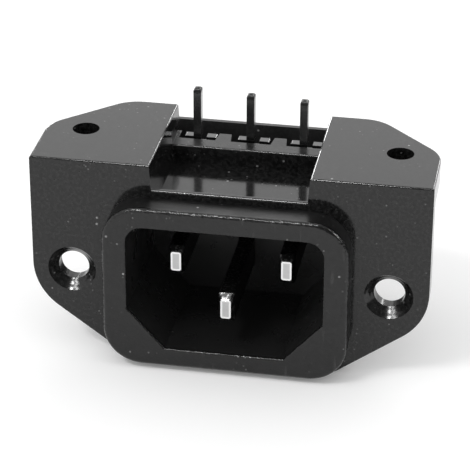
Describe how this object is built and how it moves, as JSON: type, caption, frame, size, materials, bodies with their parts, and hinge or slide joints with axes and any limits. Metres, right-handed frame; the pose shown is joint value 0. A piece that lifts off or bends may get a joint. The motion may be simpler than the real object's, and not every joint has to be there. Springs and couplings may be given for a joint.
{
  "type": "panel mount IEC socket",
  "caption": "Board-mount mains inlet: black flanged housing with a keyed three-pin cavity, two side wings that screw to a circuit board and solder tails at the rear.",
  "frame": {"origin": "midway between the two panel screw holes, on the front face of the flange", "axes": "+X along the flange, to the right seen from the front; +Y back from the panel into the equipment; +Z towards the circuit board, the way the solder tails point"},
  "size_m": [0.05, 0.0255, 0.03],
  "materials": {
    "black_plastic": "glossy",
    "contact_metal": "satin"
  },
  "bodies": {
    "root": {"housing": "black_plastic", "rear_cover": "black_plastic", "left_contact": "contact_metal", "earth_contact": "contact_metal", "right_contact": "contact_metal"}
  },
  "joints": []
}
